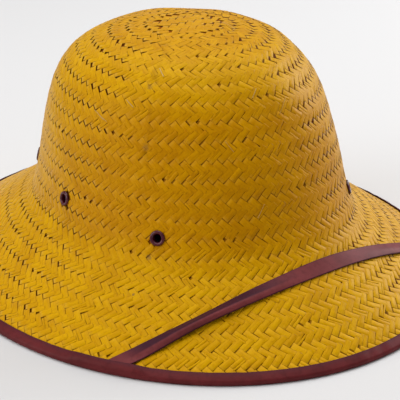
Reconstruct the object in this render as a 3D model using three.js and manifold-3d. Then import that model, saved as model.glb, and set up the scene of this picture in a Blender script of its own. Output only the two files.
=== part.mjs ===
// A sun helmet of woven palm leaf, with a bound brim, a strap laid over the front and six vents.
// Millimetres. The wearer faces -Y and +Z is up. The origin is on the table under the brim's middle.
// An angle is counted from the front, -Y, towards the wearer's right hand, -X.
import * as THREE from 'three';
import { mergeVertices } from 'three/addons/utils/BufferGeometryUtils.js';
import Module from 'manifold-3d';

const wasm = await Module();
wasm.setup();

// The brim's outline is where its slope is measured from, on the straw's top face.
const BRIM_FRONT = 177.4;
const BRIM_BACK = 184.2;
const BRIM_SIDE = 156.3;
const EDGE_HEIGHT = 4;
const STRAW_PAST_OUTLINE = 1.9;
const WALL = 2;

// The crown's oval stands ahead of the brim's middle, since the brim is longer behind.
const CROWN_LENGTHWAYS = 119.3;
const CROWN_SIDEWAYS = 98.1;
const CROWN_FORWARD = (BRIM_BACK - BRIM_FRONT) / 2;
const JOIN_HEIGHT = 43;
const CROWN_RISE = 108.2;
const DOME_RISE = 6;
const SHOULDER_POWER = 4.4;
const TAPER_ALL_ROUND = 0.175;
const TAPER_FORWARD = 0.064;
const TAPER_AT_ENDS = 0.046;
const FOOT_SPREAD = 3.1;
const FOOT_SPREAD_HEIGHT = 28;
const FLARE_SIDE = 6;
const FLARE_FRONT = 14;

// The folded strip sewn over the brim's edge.
const GAP = 0.35;
const STRIP_THICK = 0.9;
const FLAP_ABOVE = 2.6;
const FLAP_BELOW = 4;
const FOLD_AT = STRAW_PAST_OUTLINE + GAP;
const FOLD_RADIUS = WALL / 2 + GAP + STRIP_THICK;

// The strap lies round the foot of the crown and its ends are tucked under the strip.
const STRAP_WIDTH = 9.5;
const STRAP_THICK = 0.9;
const STRAP_FROM_CROWN = 4.7;
const STRAP_SPREAD = 59;
const STRAP_TURN = THREE.MathUtils.degToRad(4);
const STRAP_TUCK = 0.6;
const STRAP_FLAT_FROM = 0.93;
const STRAP_LIFT = { right: 4.3, left: 1.5 };
const STRAP_SHORTEST = 0.5;
const STRAP_LONGEST = 1.2;

// The strip rises over a tucked end of the strap, with some play, and eases off beside it.
const TUCK_PLAY = 0.15;
const TUCK_RAMP = THREE.MathUtils.degToRad(4);

// The vents: a metal eyelet in each of six holes in the crown.
const EYELET_PLACES = [
  { where: 'front', degrees: 43.5, height: 56.3 },
  { where: 'middle', degrees: 88.3, height: 61 },
  { where: 'back', degrees: 135.8, height: 61 },
];
const EYELET_BORE = 2.5;
const EYELET_BARREL = 2.85;
const EYELET_RIM = 4.7;
const EYELET_RIM_RISE = 1.5;
const EYELET_CLINCH = 4;
const EYELET_CLINCH_THICK = 0.6;
const EYELET_SEAT = 0.4;
const EYELET_PLAY_INSIDE = 0.1;
const HOLE_LENGTH = 6 * WALL;

// How finely the faces are cut.
const SHELL_SIDES = 64;
const STRIP_SIDES = 112;
const STRAP_STEPS = 44;
const BRIM_ROWS = 4;
const FLARE_ROWS = 4;
const CROWN_ROWS = 11;
const EYELET_SIDES = 16;

// How closely a place on a curve is looked for.
const HALVINGS = 24;
const SMALL_STEP = 0.01;

// The last value between two at which a test still holds.
function lastWhere(first, last, holds) {
  let [low, high] = [first, last];
  for (let halving = 0; halving < HALVINGS; halving += 1) {
    const middle = (low + high) / 2;
    if (holds(middle)) {
      low = middle;
    } else {
      high = middle;
    }
  }
  return low;
}

// An oval's radius, with a reach of its own in front, behind and to the sides.
function ovalRadius(angle, front, back, side) {
  const reach = Math.cos(angle) > 0 ? front : back;
  return 1 / Math.hypot(Math.cos(angle) / reach, Math.sin(angle) / side);
}

function crownFoot(angle) {
  return ovalRadius(angle, CROWN_LENGTHWAYS, CROWN_LENGTHWAYS, CROWN_SIDEWAYS);
}

// A place given by its angle round the crown, its distance from the crown's axis and its height.
function place(angle, radius, height) {
  return new THREE.Vector3(-radius * Math.sin(angle), -radius * Math.cos(angle) - CROWN_FORWARD, height);
}

function angleOf(point) {
  return Math.atan2(-point.x, -(point.y + CROWN_FORWARD));
}

function radiusOf(point) {
  return Math.hypot(point.x, point.y + CROWN_FORWARD);
}

// The brim is a straight slope from the crown's foot to the outline at every angle.
function brimSlope(angle) {
  const outline = ovalRadius(angle, BRIM_FRONT, BRIM_BACK, BRIM_SIDE);
  const run = outline - crownFoot(angle);
  const fall = JOIN_HEIGHT - EDGE_HEIGHT;
  const length = Math.hypot(run, fall);
  return { outline, length, out: run / length, down: fall / length };
}

// A place on the brim: so far down the slope past the outline, and so far off the straw's top face.
function brimPlace(angle, past, off = 0) {
  const slope = brimSlope(angle);
  const radius = slope.outline + past * slope.out + off * slope.down;
  const height = EDGE_HEIGHT - past * slope.down + off * slope.out;
  return place(angle, radius, height);
}

// The crown's side and top, by a share that runs evenly from its foot (0) to its middle (1).
function crownPlace(angle, share) {
  const even = SHOULDER_POWER / 2;
  const turn = (Math.PI / 2) * share ** even / (share ** even + (1 - share) ** even);
  const rise = Math.sin(turn) ** (1 / even);
  const reach = Math.max(Math.cos(turn), 0) ** (1 / even);
  const taper = TAPER_ALL_ROUND + TAPER_FORWARD * Math.cos(angle) + TAPER_AT_ENDS * Math.cos(2 * angle);
  const drawnIn = FOOT_SPREAD * (1 - Math.max(1 - CROWN_RISE * rise / FOOT_SPREAD_HEIGHT, 0) ** 2);
  const radius = reach * (crownFoot(angle) * (1 - taper * rise) - drawnIn);
  return place(angle, radius, JOIN_HEIGHT + CROWN_RISE * rise + DOME_RISE * (1 - reach ** 2) ** 2);
}

// The share at which the crown's side has risen so far above its foot.
function shareAtRise(rise) {
  const even = SHOULDER_POWER / 2;
  const turn = Math.asin((rise / CROWN_RISE) ** even) / (Math.PI / 2);
  return 1 / (1 + (1 / turn - 1) ** (1 / even));
}

function flareLength(angle) {
  return FLARE_SIDE + (FLARE_FRONT - FLARE_SIDE) * Math.max(Math.cos(angle), 0) ** 4;
}

// The curve that eases the brim into the crown, from the slope (0) to the crown's side (1).
function flarePlace(angle, share) {
  const length = flareLength(angle);
  const start = brimPlace(angle, length - brimSlope(angle).length);
  const corner = place(angle, crownFoot(angle), JOIN_HEIGHT);
  const end = crownPlace(angle, shareAtRise(length));
  return new THREE.QuadraticBezierCurve3(start, corner, end).getPoint(share);
}

// The straw's top face on the brim, at this angle and distance from the crown's axis.
function brimFace(angle, radius) {
  const slope = brimSlope(angle);
  const past = (radius - slope.outline) / slope.out;
  if (past < flareLength(angle) - slope.length) {
    return flareFace(angle, radius);
  }
  return brimPlace(angle, past);
}

function flareFace(angle, radius) {
  const share = lastWhere(0, 1, (tried) => radiusOf(flarePlace(angle, tried)) > radius);
  return flarePlace(angle, share);
}

// One line of the shell's outer face from the brim's edge up to just short of the crown's middle.
function shellLine(angle) {
  const flare = flareLength(angle);
  const slopeEnd = flare - brimSlope(angle).length;
  const crownStart = shareAtRise(flare);
  const line = [];
  for (let row = 0; row < BRIM_ROWS; row += 1) {
    line.push(brimPlace(angle, THREE.MathUtils.lerp(STRAW_PAST_OUTLINE, slopeEnd, row / BRIM_ROWS)));
  }
  for (let row = 0; row < FLARE_ROWS; row += 1) {
    line.push(flarePlace(angle, row / FLARE_ROWS));
  }
  for (let row = 0; row < CROWN_ROWS; row += 1) {
    line.push(crownPlace(angle, THREE.MathUtils.lerp(crownStart, 1, row / CROWN_ROWS)));
  }
  return line;
}

function evenAngles(count) {
  return Array.from({ length: count }, (_, index) => (index / count) * 2 * Math.PI);
}

// The same lines moved inwards by the wall, square to the face.
function innerLines(lines) {
  const count = lines.length;
  return lines.map((line, side) => {
    const before = lines[(side + count - 1) % count];
    const after = lines[(side + 1) % count];
    return line.map((point, row) => {
      const along = new THREE.Vector3().subVectors(after[row], before[row]);
      const lower = line[Math.max(row - 1, 0)];
      const upper = line[Math.min(row + 1, line.length - 1)];
      const up = new THREE.Vector3().subVectors(upper, lower);
      const outward = new THREE.Vector3().crossVectors(up, along).normalize();
      return point.clone().addScaledVector(outward, -WALL);
    });
  });
}

function asGeometry(positions, faces) {
  const geometry = new THREE.BufferGeometry();
  geometry.setAttribute('position', new THREE.Float32BufferAttribute(positions, 3));
  geometry.setIndex(faces);
  return geometry;
}

// Faces between rings of points; the last ring joins the first one unless the ends are capped.
function ringsToGeometry(rings, capped) {
  const sides = rings[0].length;
  const faces = [];
  const steps = capped ? rings.length - 1 : rings.length;
  for (let step = 0; step < steps; step += 1) {
    const here = step * sides;
    const next = ((step + 1) % rings.length) * sides;
    for (let side = 0; side < sides; side += 1) {
      const beside = (side + 1) % sides;
      faces.push(here + side, next + side, next + beside, here + side, next + beside, here + beside);
    }
  }
  if (capped) {
    const last = (rings.length - 1) * sides;
    for (let side = 1; side < sides - 1; side += 1) {
      faces.push(0, side, side + 1, last, last + side + 1, last + side);
    }
  }
  const positions = rings.flat().flatMap((point) => point.toArray());
  return asGeometry(positions, faces);
}

// Outer and inner faces, joined at the brim's edge and closed by one point each at the crown's middle.
function shellGeometry() {
  const outer = evenAngles(SHELL_SIDES).map(shellLine);
  const inner = innerLines(outer);
  const rows = outer[0].length;
  const top = crownPlace(0, 1);
  const ceiling = top.clone().setZ(top.z - WALL);
  const points = [...outer.flat(), ...inner.flat(), top, ceiling];
  const innerStart = SHELL_SIDES * rows;
  const topIndex = 2 * innerStart;
  const faces = [];
  for (let side = 0; side < SHELL_SIDES; side += 1) {
    const here = side * rows;
    const next = ((side + 1) % SHELL_SIDES) * rows;
    for (let row = 0; row < rows - 1; row += 1) {
      const [a, b, c, d] = [here + row, next + row, next + row + 1, here + row + 1];
      faces.push(a, d, c, a, c, b);
      faces.push(innerStart + a, innerStart + c, innerStart + d);
      faces.push(innerStart + a, innerStart + b, innerStart + c);
    }
    const [last, beside] = [here + rows - 1, next + rows - 1];
    faces.push(last, topIndex, beside);
    faces.push(innerStart + last, innerStart + beside, topIndex + 1);
    faces.push(here, next, innerStart + next, here, innerStart + next, innerStart + here);
  }
  return asGeometry(points.flatMap((point) => point.toArray()), faces);
}

function toManifold(geometry) {
  const vertProperties = new Float32Array(geometry.attributes.position.array);
  const triVerts = new Uint32Array(geometry.index.array);
  return new wasm.Manifold(new wasm.Mesh({ numProp: 3, vertProperties, triVerts }));
}

function fromManifold(solid) {
  const mesh = solid.getMesh();
  return asGeometry(Array.from(mesh.vertProperties), Array.from(mesh.triVerts));
}

// Where an eyelet sits on the crown, with the way out of the crown there.
function eyeletSeat(angle, height) {
  const share = shareAtRise(height - JOIN_HEIGHT);
  const centre = crownPlace(angle, share);
  const along = crownPlace(angle + SMALL_STEP, share).sub(crownPlace(angle - SMALL_STEP, share));
  const up = crownPlace(angle, share + SMALL_STEP).sub(crownPlace(angle, share - SMALL_STEP));
  return { centre, outward: up.cross(along).normalize() };
}

function turnedTo(outward) {
  return new THREE.Quaternion().setFromUnitVectors(new THREE.Vector3(0, 1, 0), outward);
}

// A straight hole through the wall for each eyelet.
function holeSolid(seat) {
  const radius = EYELET_BARREL + GAP;
  const hole = new THREE.CylinderGeometry(radius, radius, HOLE_LENGTH, EYELET_SIDES);
  hole.applyQuaternion(turnedTo(seat.outward));
  hole.translate(...seat.centre);
  hole.deleteAttribute('normal');
  hole.deleteAttribute('uv');
  return toManifold(mergeVertices(hole));
}

function wovenShell(seats) {
  let shell = toManifold(shellGeometry());
  for (const seat of seats) {
    shell = shell.subtract(holeSolid(seat));
  }
  return fromManifold(shell);
}

// The strap's inner edge on the brim, at a turn counted from the strap's own middle.
function strapInner(turn) {
  const angle = turn - STRAP_TURN;
  return brimFace(angle, crownFoot(angle) + STRAP_FROM_CROWN + STRAP_SPREAD * turn ** 2);
}

// The way out of the brim's slope at a place on it.
function faceOutward(point) {
  const angle = angleOf(point);
  const slope = brimSlope(angle);
  return new THREE.Vector3(-slope.down * Math.sin(angle), -slope.down * Math.cos(angle), slope.out);
}

// A place across the strap from its inner edge, taken down onto the brim.
function strapAcross(turn, distance) {
  const inner = strapInner(turn);
  const along = strapInner(turn + SMALL_STEP).sub(strapInner(turn - SMALL_STEP)).normalize();
  const across = faceOutward(inner).cross(along).multiplyScalar(distance).add(inner);
  return brimFace(angleOf(across), radiusOf(across));
}

// How far down the slope past the brim's outline a place lies.
function pastOutline(point) {
  const slope = brimSlope(angleOf(point));
  return (radiusOf(point) - slope.outline) / slope.out;
}

// How far round an edge of the strap runs before it has gone under the strip.
function strapReach(side, distance) {
  const inSight = (turn) => pastOutline(strapAcross(side * turn, distance)) < STRAP_TUCK;
  return lastWhere(STRAP_SHORTEST, STRAP_LONGEST, inSight);
}

function strapReaches() {
  const both = (side) => [0, STRAP_WIDTH].map((distance) => strapReach(side, distance));
  return { left: both(-1), right: both(1) };
}

// The strap's outer edge stands off the brim between its middle and each end, as a stiff band does.
function strapLift(share) {
  const most = share < 0 ? STRAP_LIFT.left : STRAP_LIFT.right;
  return most * Math.sin(Math.PI * Math.min(Math.abs(share) / STRAP_FLAT_FROM, 1) ** 2);
}

function strapSection(share, reaches) {
  const [innerReach, outerReach] = share < 0 ? reaches.left : reaches.right;
  const lift = strapLift(share);
  const inner = strapInner(share * innerReach);
  const outer = strapAcross(share * outerReach, Math.sqrt(STRAP_WIDTH ** 2 - lift ** 2));
  const corner = (point, off) => point.clone().addScaledVector(faceOutward(point), off);
  return [
    corner(inner, GAP),
    corner(inner, GAP + STRAP_THICK),
    corner(outer, GAP + STRAP_THICK + lift),
    corner(outer, GAP + lift),
  ];
}

function strapGeometry() {
  const reaches = strapReaches();
  const rings = [];
  for (let step = 0; step <= STRAP_STEPS; step += 1) {
    rings.push(strapSection(2 * step / STRAP_STEPS - 1, reaches));
  }
  return ringsToGeometry(rings, true);
}

// An angle counted from the strap's own middle, between half a turn each way.
function strapTurn(angle) {
  return THREE.MathUtils.euclideanModulo(angle + STRAP_TURN + Math.PI, 2 * Math.PI) - Math.PI;
}

// How far the strip is raised, in full over a tucked end of the strap and for one ramp beside it.
function stripRaise(angle, reaches) {
  const turn = strapTurn(angle);
  const ends = turn < 0 ? reaches.left : reaches.right;
  const first = Math.min(...ends) - TUCK_RAMP;
  const last = Math.max(...ends) + TUCK_RAMP;
  const rising = THREE.MathUtils.smoothstep(Math.abs(turn), first - TUCK_RAMP, first);
  const falling = THREE.MathUtils.smoothstep(Math.abs(turn), last, last + TUCK_RAMP);
  return (rising - falling) * (STRAP_THICK + GAP + TUCK_PLAY);
}

// The strip's cut end: along the slope, off the straw's top face, and how much of the raise it takes.
function stripSection() {
  const topFace = GAP + STRIP_THICK;
  const underFace = -WALL - GAP - STRIP_THICK;
  const fold = [60, 30, 0, -30, -60].map((turn) => {
    const way = THREE.MathUtils.degToRad(turn);
    const past = FOLD_AT + FOLD_RADIUS * Math.cos(way);
    return { past, off: FOLD_RADIUS * Math.sin(way) - WALL / 2, raise: 0 };
  });
  return [
    { past: -FLAP_ABOVE, off: GAP, raise: 1 },
    { past: -FLAP_ABOVE, off: topFace, raise: 1 },
    { past: STRAP_TUCK, off: topFace, raise: 1 },
    { past: FOLD_AT, off: topFace, raise: 0.6 },
    ...fold,
    { past: FOLD_AT, off: underFace, raise: 0 },
    { past: -FLAP_BELOW, off: underFace, raise: 0 },
    { past: -FLAP_BELOW, off: -WALL - GAP, raise: 0 },
    { past: FOLD_AT, off: -WALL - GAP, raise: 0 },
    { past: FOLD_AT, off: GAP, raise: 0 },
    { past: STRAP_TUCK + GAP, off: GAP, raise: 1 },
  ];
}

// The fold is pressed flat where it rests on the table.
function onTable(point) {
  return point.setZ(Math.max(point.z, 0));
}

function stripGeometry() {
  const reaches = strapReaches();
  const section = stripSection();
  const rings = evenAngles(STRIP_SIDES).map((angle) => {
    const raise = stripRaise(angle, reaches);
    const corners = section.map(({ past, off, raise: part }) => brimPlace(angle, past, off + part * raise));
    return corners.map(onTable);
  });
  return ringsToGeometry(rings, false);
}

// A rolled rim outside, a barrel through the wall and a flat turned-over rim inside.
function eyeletGeometry() {
  const inside = -WALL - EYELET_SEAT - EYELET_PLAY_INSIDE;
  const profile = [
    [EYELET_BORE, inside - EYELET_CLINCH_THICK],
    [EYELET_CLINCH, inside - EYELET_CLINCH_THICK],
    [EYELET_CLINCH, inside],
    [EYELET_BARREL, inside],
    [EYELET_BARREL, EYELET_SEAT],
    [EYELET_RIM, EYELET_SEAT],
    [EYELET_RIM, 0.55 * EYELET_RIM_RISE],
    [0.9 * EYELET_RIM, 0.9 * EYELET_RIM_RISE],
    [0.75 * EYELET_RIM, EYELET_RIM_RISE],
    [1.2 * EYELET_BORE, 0.9 * EYELET_RIM_RISE],
    [EYELET_BORE, 0.5 * EYELET_RIM_RISE],
  ];
  const corners = [...profile, profile[0]].map(([radius, level]) => new THREE.Vector2(radius, level));
  return new THREE.LatheGeometry(corners, EYELET_SIDES);
}

function namedMesh(name, geometry, look) {
  const mesh = new THREE.Mesh(geometry, new THREE.MeshStandardMaterial(look));
  mesh.name = name;
  return mesh;
}

function eyeletMesh(name, seat) {
  const mesh = namedMesh(name, eyeletGeometry(), { color: '#5c2630', roughness: 0.35, metalness: 0.3 });
  mesh.position.copy(seat.centre);
  mesh.quaternion.copy(turnedTo(seat.outward));
  return mesh;
}

function eyelets() {
  const found = [];
  for (const [hand, sign] of [['right', 1], ['left', -1]]) {
    for (const { where, degrees, height } of EYELET_PLACES) {
      const seat = eyeletSeat(sign * THREE.MathUtils.degToRad(degrees), height);
      found.push({ name: `eyelet_${hand}_${where}`, seat });
    }
  }
  return found;
}

function helmet() {
  const group = new THREE.Group();
  const vents = eyelets();
  const straw = { color: '#c58d1c', roughness: 0.7, metalness: 0 };
  const vinyl = { color: '#6e3038', roughness: 0.5, metalness: 0 };
  group.add(namedMesh('woven_shell', wovenShell(vents.map((vent) => vent.seat)), straw));
  group.add(namedMesh('brim_binding', stripGeometry(), vinyl));
  group.add(namedMesh('chin_strap', strapGeometry(), { ...vinyl, color: '#6b2f40' }));
  for (const vent of vents) {
    group.add(eyeletMesh(vent.name, vent.seat));
  }
  return group;
}

export default helmet();
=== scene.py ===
"""A sun helmet of painted palm leaf, plaited strip by strip, with its bound brim, strap and vents.

Run as a script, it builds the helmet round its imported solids, with a floor, lights and a camera.
Sizes in the code are millimetres in the part's own frame: the wearer faces -Y and +Z is up.
An angle is counted from the front, -Y, towards the wearer's right hand, -X.
"""

import math

import bpy
import numpy as np
from bpy.props import FloatProperty, FloatVectorProperty, IntProperty, PointerProperty
from mathutils import Matrix, Vector


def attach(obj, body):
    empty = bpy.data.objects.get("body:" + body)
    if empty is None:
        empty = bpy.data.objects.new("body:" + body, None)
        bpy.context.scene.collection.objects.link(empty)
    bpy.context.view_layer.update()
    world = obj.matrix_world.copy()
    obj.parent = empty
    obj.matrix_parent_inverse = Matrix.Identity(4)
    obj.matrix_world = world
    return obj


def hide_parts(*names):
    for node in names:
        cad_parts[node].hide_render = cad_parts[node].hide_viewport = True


bl_info = {
    "name": "Plaited Sun Helmet",
    "version": (1, 0, 0),
    "blender": (4, 5, 0),
    "location": "View3D > Sidebar > Helmet",
    "description": "Plaits a palm-leaf sun helmet round its solid parts",
    "category": "Add Mesh",
}

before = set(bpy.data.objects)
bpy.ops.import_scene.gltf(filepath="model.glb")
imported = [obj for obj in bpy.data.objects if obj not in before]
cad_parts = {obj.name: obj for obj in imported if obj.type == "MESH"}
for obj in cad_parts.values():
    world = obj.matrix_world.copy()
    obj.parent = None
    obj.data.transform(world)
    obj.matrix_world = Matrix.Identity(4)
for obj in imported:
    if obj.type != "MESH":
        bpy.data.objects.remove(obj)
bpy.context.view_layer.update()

MM = 0.001
ROUND = 2 * math.pi

# The solid parts' own sizes, which the visible pieces share.
BRIM_FRONT = 177.4
BRIM_BACK = 184.2
BRIM_SIDE = 156.3
EDGE_HEIGHT = 4.0
STRAW_PAST_OUTLINE = 1.9
WALL = 2.0
CROWN_LENGTHWAYS = 119.3
CROWN_SIDEWAYS = 98.1
CROWN_FORWARD = (BRIM_BACK - BRIM_FRONT) / 2
JOIN_HEIGHT = 43.0
CROWN_RISE = 108.2
DOME_RISE = 6.0
SHOULDER_POWER = 4.4
TAPER_ALL_ROUND = 0.175
TAPER_FORWARD = 0.064
TAPER_AT_ENDS = 0.046
FOOT_SPREAD = 3.1
FOOT_SPREAD_HEIGHT = 28.0
FLARE_SIDE = 6.0
FLARE_FRONT = 14.0
GAP = 0.35
STRIP_THICK = 0.9
FLAP_ABOVE = 2.6
FLAP_BELOW = 4.0
FOLD_AT = STRAW_PAST_OUTLINE + GAP
FOLD_RADIUS = WALL / 2 + GAP + STRIP_THICK
STRAP_WIDTH = 9.5
STRAP_THICK = 0.9
STRAP_FROM_CROWN = 4.7
STRAP_SPREAD = 59.0
STRAP_TURN = math.radians(4)
STRAP_TUCK = 0.6
STRAP_FLAT_FROM = 0.93
STRAP_LIFT_RIGHT = 4.3
STRAP_LIFT_LEFT = 1.5
STRAP_SHORTEST = 0.5
STRAP_LONGEST = 1.2
TUCK_PLAY = 0.15
TUCK_RAMP = math.radians(4)
EYELET_SEAT = 0.4
EYELET_BORE = 2.5
EYELET_BARREL = 2.85
EYELET_RIM = 4.7
EYELET_CLINCH = 4.0

# How the scene shapes the trim beyond the solids: the strap's lifted edge and ridge as shares of its
# lift, its rim painted with shade and its flat part as shares of its width, its stations and waves, the
# binding's puckers, and the eyelets' rolled ends.
STRAP_TILT_SHARE = 0.35
STRAP_RIDGE_SHARE = 0.58
STRAP_RIDGE_ASIDE = 1.357
STRAP_RIM = 0.09
STRAP_STATIONS = 321
STRAP_WAVES = (17, 29)
STRAP_FLAT = (0.08, 0.92)
STRAP_FLAT_POINTS = 17
BINDING_RIM = 0.9
BINDING_STATIONS = 720
PUCKER_WAVES = 12
PUCKERS_ROUND = (20, 130)
FACE_MARGIN = 0.1
FOLD_MARGIN = 0.5
RIM_RISE = 1.1
CLINCH_RISE = 0.6
CLINCH_PLAY = 0.1
EYELET_STATIONS = 48

# The vents: where each row's pair sits, in degrees from the front, and how high, in millimetres.
VENTS = (
    ("front", 43.5, 56.3),
    ("middle", 88.3, 61.0),
    ("back", 135.8, 61.0),
)

HALVINGS = 24
SMALL_STEP = 0.01
SEED = 7
GOLDEN_STEP = 0.618034


def colour(hex_code):
    """An sRGB hex colour as linear red, green, blue and 1, the way a shader takes it."""
    channels = np.array([int(hex_code[start : start + 2], 16) for start in (1, 3, 5)]) / 255
    linear = np.where(channels <= 0.04045, channels / 12.92, ((channels + 0.055) / 1.055) ** 2.4)
    return (*(float(channel) for channel in linear), 1.0)


def colour_property(name, description, hex_code):
    """A colour that a user can change, with its default given as sRGB hex."""
    return FloatVectorProperty(
        name=name,
        description=description,
        subtype="COLOR",
        size=4,
        min=0,
        max=1,
        default=colour(hex_code),
    )


def length_property(name, description, millimetres):
    """A length that a user can change, with its default given in millimetres."""
    return FloatProperty(
        name=name, description=description, unit="LENGTH", min=0, default=millimetres * MM, precision=5
    )


class HelmetSizes(bpy.types.PropertyGroup):
    """Sizes of the plaiting and the trim that can change without changing the solids."""

    strip_width: length_property("Strip width", "Width of one palm-leaf strip", 4.16)
    strip_lean: FloatProperty(
        name="Strip lean",
        description="How steeply a strip climbs across the rings",
        subtype="ANGLE",
        default=math.radians(43),
    )
    split_share: FloatProperty(
        name="Split share",
        description="Share of the strips that have split lengthwise in two",
        subtype="FACTOR",
        min=0,
        max=1,
        default=0.13,
    )
    strip_thickness: length_property("Strip thickness", "Thickness of one palm-leaf strip", 0.42)
    strip_dip: length_property("Strip dip", "How far a strip goes down under the next one", 0.9)
    first_ring: length_property("First ring", "Distance of the innermost ring from the crown's middle", 24.0)
    slivers: IntProperty(
        name="Slivers", description="Number of loose slivers on the straw", default=16, min=6
    )
    binding_pucker: length_property("Binding pucker", "Depth of the small folds in the binding", 0.1)
    strap_wave: length_property("Strap wave", "Depth of the slow waves along the strap", 0.2)


class HelmetColours(bpy.types.PropertyGroup):
    """Colours of the helmet's finishes."""

    straw_paint: colour_property("Straw paint", "Ochre paint on the outside", "#d9a300")
    straw_paint_dark: colour_property("Straw paint, dark", "Ochre paint where it is thin or dirty", "#bd8300")
    # Rubbed paint: paler paint beside the notches, partly worn thin and partly painted highlight on the
    # raised leaf.
    rubbed_paint_and_highlight: colour_property("Rubbed paint", "Paint worn thin beside the notches", "#e2bb55")
    bare_straw: colour_property("Bare straw", "Unpainted palm leaf", "#cbb078")
    bare_straw_dark: colour_property("Bare straw, dark", "Unpainted palm leaf that has browned", "#a9854c")
    under_straw: colour_property("Under straw", "Leaf that lies under the strips", "#9a5404")
    straw_shadow: colour_property("Straw shadow", "Old leaf deep between the strips", "#5a2400")
    vinyl: colour_property("Binding vinyl", "Maroon vinyl of the binding", "#6a2628")
    strap_vinyl: colour_property("Strap vinyl", "Maroon vinyl of the strap", "#7c383a")
    enamel: colour_property("Eyelet enamel", "Maroon enamel of the eyelets", "#521020")
    floor: colour_property("Floor", "Pale paper under the helmet", "#dad9d9")


# The helmet's surface


def oval_radius(angle, front, back, side):
    """An oval's radius: one over the length of (cosine over reach, sine over side), reach changing behind."""
    reach = np.where(np.cos(angle) > 0, front, back)
    return 1 / np.hypot(np.cos(angle) / reach, np.sin(angle) / side)


def crown_foot(angle):
    """The radius of the oval on which the crown stands."""
    return oval_radius(angle, CROWN_LENGTHWAYS, CROWN_LENGTHWAYS, CROWN_SIDEWAYS)


def place(angle, radius, height):
    """A point from its angle round the crown, its distance from the crown's axis and its height."""
    return np.stack([-radius * np.sin(angle), -radius * np.cos(angle) - CROWN_FORWARD, height], axis=-1)


def angle_of(points):
    return np.arctan2(-points[..., 0], -(points[..., 1] + CROWN_FORWARD))


def radius_of(points):
    return np.hypot(points[..., 0], points[..., 1] + CROWN_FORWARD)


def unit(vectors):
    return vectors / np.linalg.norm(vectors, axis=-1, keepdims=True)


def brim_slope(angle):
    """The brim's outline, its slope's length, and how far that goes out and down in each millimetre."""
    outline = oval_radius(angle, BRIM_FRONT, BRIM_BACK, BRIM_SIDE)
    run = outline - crown_foot(angle)
    fall = JOIN_HEIGHT - EDGE_HEIGHT
    length = np.hypot(run, fall)
    return outline, length, run / length, fall / length


def brim_place(angle, past, off):
    """A point so far down the slope past the outline and so far off the straw's top face."""
    outline, _, out, down = brim_slope(angle)
    return place(angle, outline + past * out + off * down, EDGE_HEIGHT - past * down + off * out)


def crown_place(angle, share):
    """The crown's side and top: an even-running superellipse, drawn in towards the top and domed there."""
    even = SHOULDER_POWER / 2
    turn = (math.pi / 2) * share**even / (share**even + (1 - share) ** even)
    rise = np.sin(turn) ** (1 / even)
    reach = np.maximum(np.cos(turn), 0) ** (1 / even)
    taper = TAPER_ALL_ROUND + TAPER_FORWARD * np.cos(angle) + TAPER_AT_ENDS * np.cos(2 * angle)
    drawn_in = FOOT_SPREAD * (1 - np.maximum(1 - CROWN_RISE * rise / FOOT_SPREAD_HEIGHT, 0) ** 2)
    radius = reach * (crown_foot(angle) * (1 - taper * rise) - drawn_in)
    return place(angle, radius, JOIN_HEIGHT + CROWN_RISE * rise + DOME_RISE * (1 - reach**2) ** 2)


def share_at_rise(rise):
    """The crown's share at which its side has risen so far: the superellipse solved for the share."""
    even = SHOULDER_POWER / 2
    turn = np.arcsin((rise / CROWN_RISE) ** even) / (math.pi / 2)
    return 1 / (1 + (1 / turn - 1) ** (1 / even))


def flare_length(angle):
    """How far the easing curve reaches each way from the crown's foot, most at the front."""
    return FLARE_SIDE + (FLARE_FRONT - FLARE_SIDE) * np.maximum(np.cos(angle), 0) ** 4


def flare_place(angle, share):
    """The easing curve: a quadratic Bezier from the slope by way of the foot's corner to the crown's side."""
    length = flare_length(angle)
    start = brim_place(angle, length - brim_slope(angle)[1], 0)
    corner = place(angle, crown_foot(angle), np.full_like(angle, JOIN_HEIGHT))
    end = crown_place(angle, share_at_rise(length))
    share = share[..., None]
    return (1 - share) ** 2 * start + 2 * share * (1 - share) * corner + share**2 * end


TABLE_ANGLES = np.linspace(0, ROUND, 361)
TABLE_SHARES = np.linspace(0, 1, 257)
CROWN_STATIONS = 110
FLARE_STATIONS = 24
BRIM_STATIONS = 24
DENT_DEPTH = 0.25
# The slow waves in the straw: turns round the hat, radians down it, and where each starts.
DENT_WAVES = (
    (3, 9, 0),
    (5, -14, 1),
    (8, 21, 2),
)


def raw_lines():
    """Each angle's line from the crown's middle down the side, through the flare and to the brim's edge."""
    angle = TABLE_ANGLES[:, None]
    flare = flare_length(angle)
    crown_share = 1 + (share_at_rise(flare) - 1) * np.linspace(0, 1, CROWN_STATIONS)
    flare_share = np.linspace(1, 0, FLARE_STATIONS)[1:] + 0 * angle
    slope_end = flare - brim_slope(angle)[1]
    past = slope_end + (STRAW_PAST_OUTLINE - slope_end) * np.linspace(0, 1, BRIM_STATIONS)[1:]
    crown = crown_place(angle + 0 * crown_share, crown_share)
    easing = flare_place(angle + 0 * flare_share, flare_share)
    return np.concatenate([crown, easing, brim_place(angle, past, 0)], axis=1)


def even_lines(lines):
    """The same lines read at even steps of their own length, by straight-line interpolation."""
    run = np.cumsum(np.linalg.norm(np.diff(lines, axis=1), axis=2), axis=1)
    run = np.pad(run, ((0, 0), (1, 0)))
    run_share = run / run[:, -1:]
    below = (run_share[:, None, :] <= TABLE_SHARES[None, :, None]).sum(axis=2) - 1
    below = np.minimum(below, lines.shape[1] - 2)
    row = np.arange(len(lines))[:, None]
    start, end = run_share[row, below], run_share[row, below + 1]
    part = ((TABLE_SHARES - start) / (end - start))[..., None]
    return lines[row, below] * (1 - part) + lines[row, below + 1] * part, run[:, -1]


def smoothstep(value, start, end):
    """0 before start, 1 after end, and between them three times the square less twice the cube."""
    part = np.clip((value - start) / (end - start), 0, 1)
    return part * part * (3 - 2 * part)


def dents(angle, share):
    """How far the straw stands off its even form: three slow waves round and down it, none at the edge."""
    waves = sum(np.sin(turns * angle + run * share + start) for turns, run, start in DENT_WAVES)
    return DENT_DEPTH * waves * (1 - share**6) * smoothstep(share, 0.02, 0.2)


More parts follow.
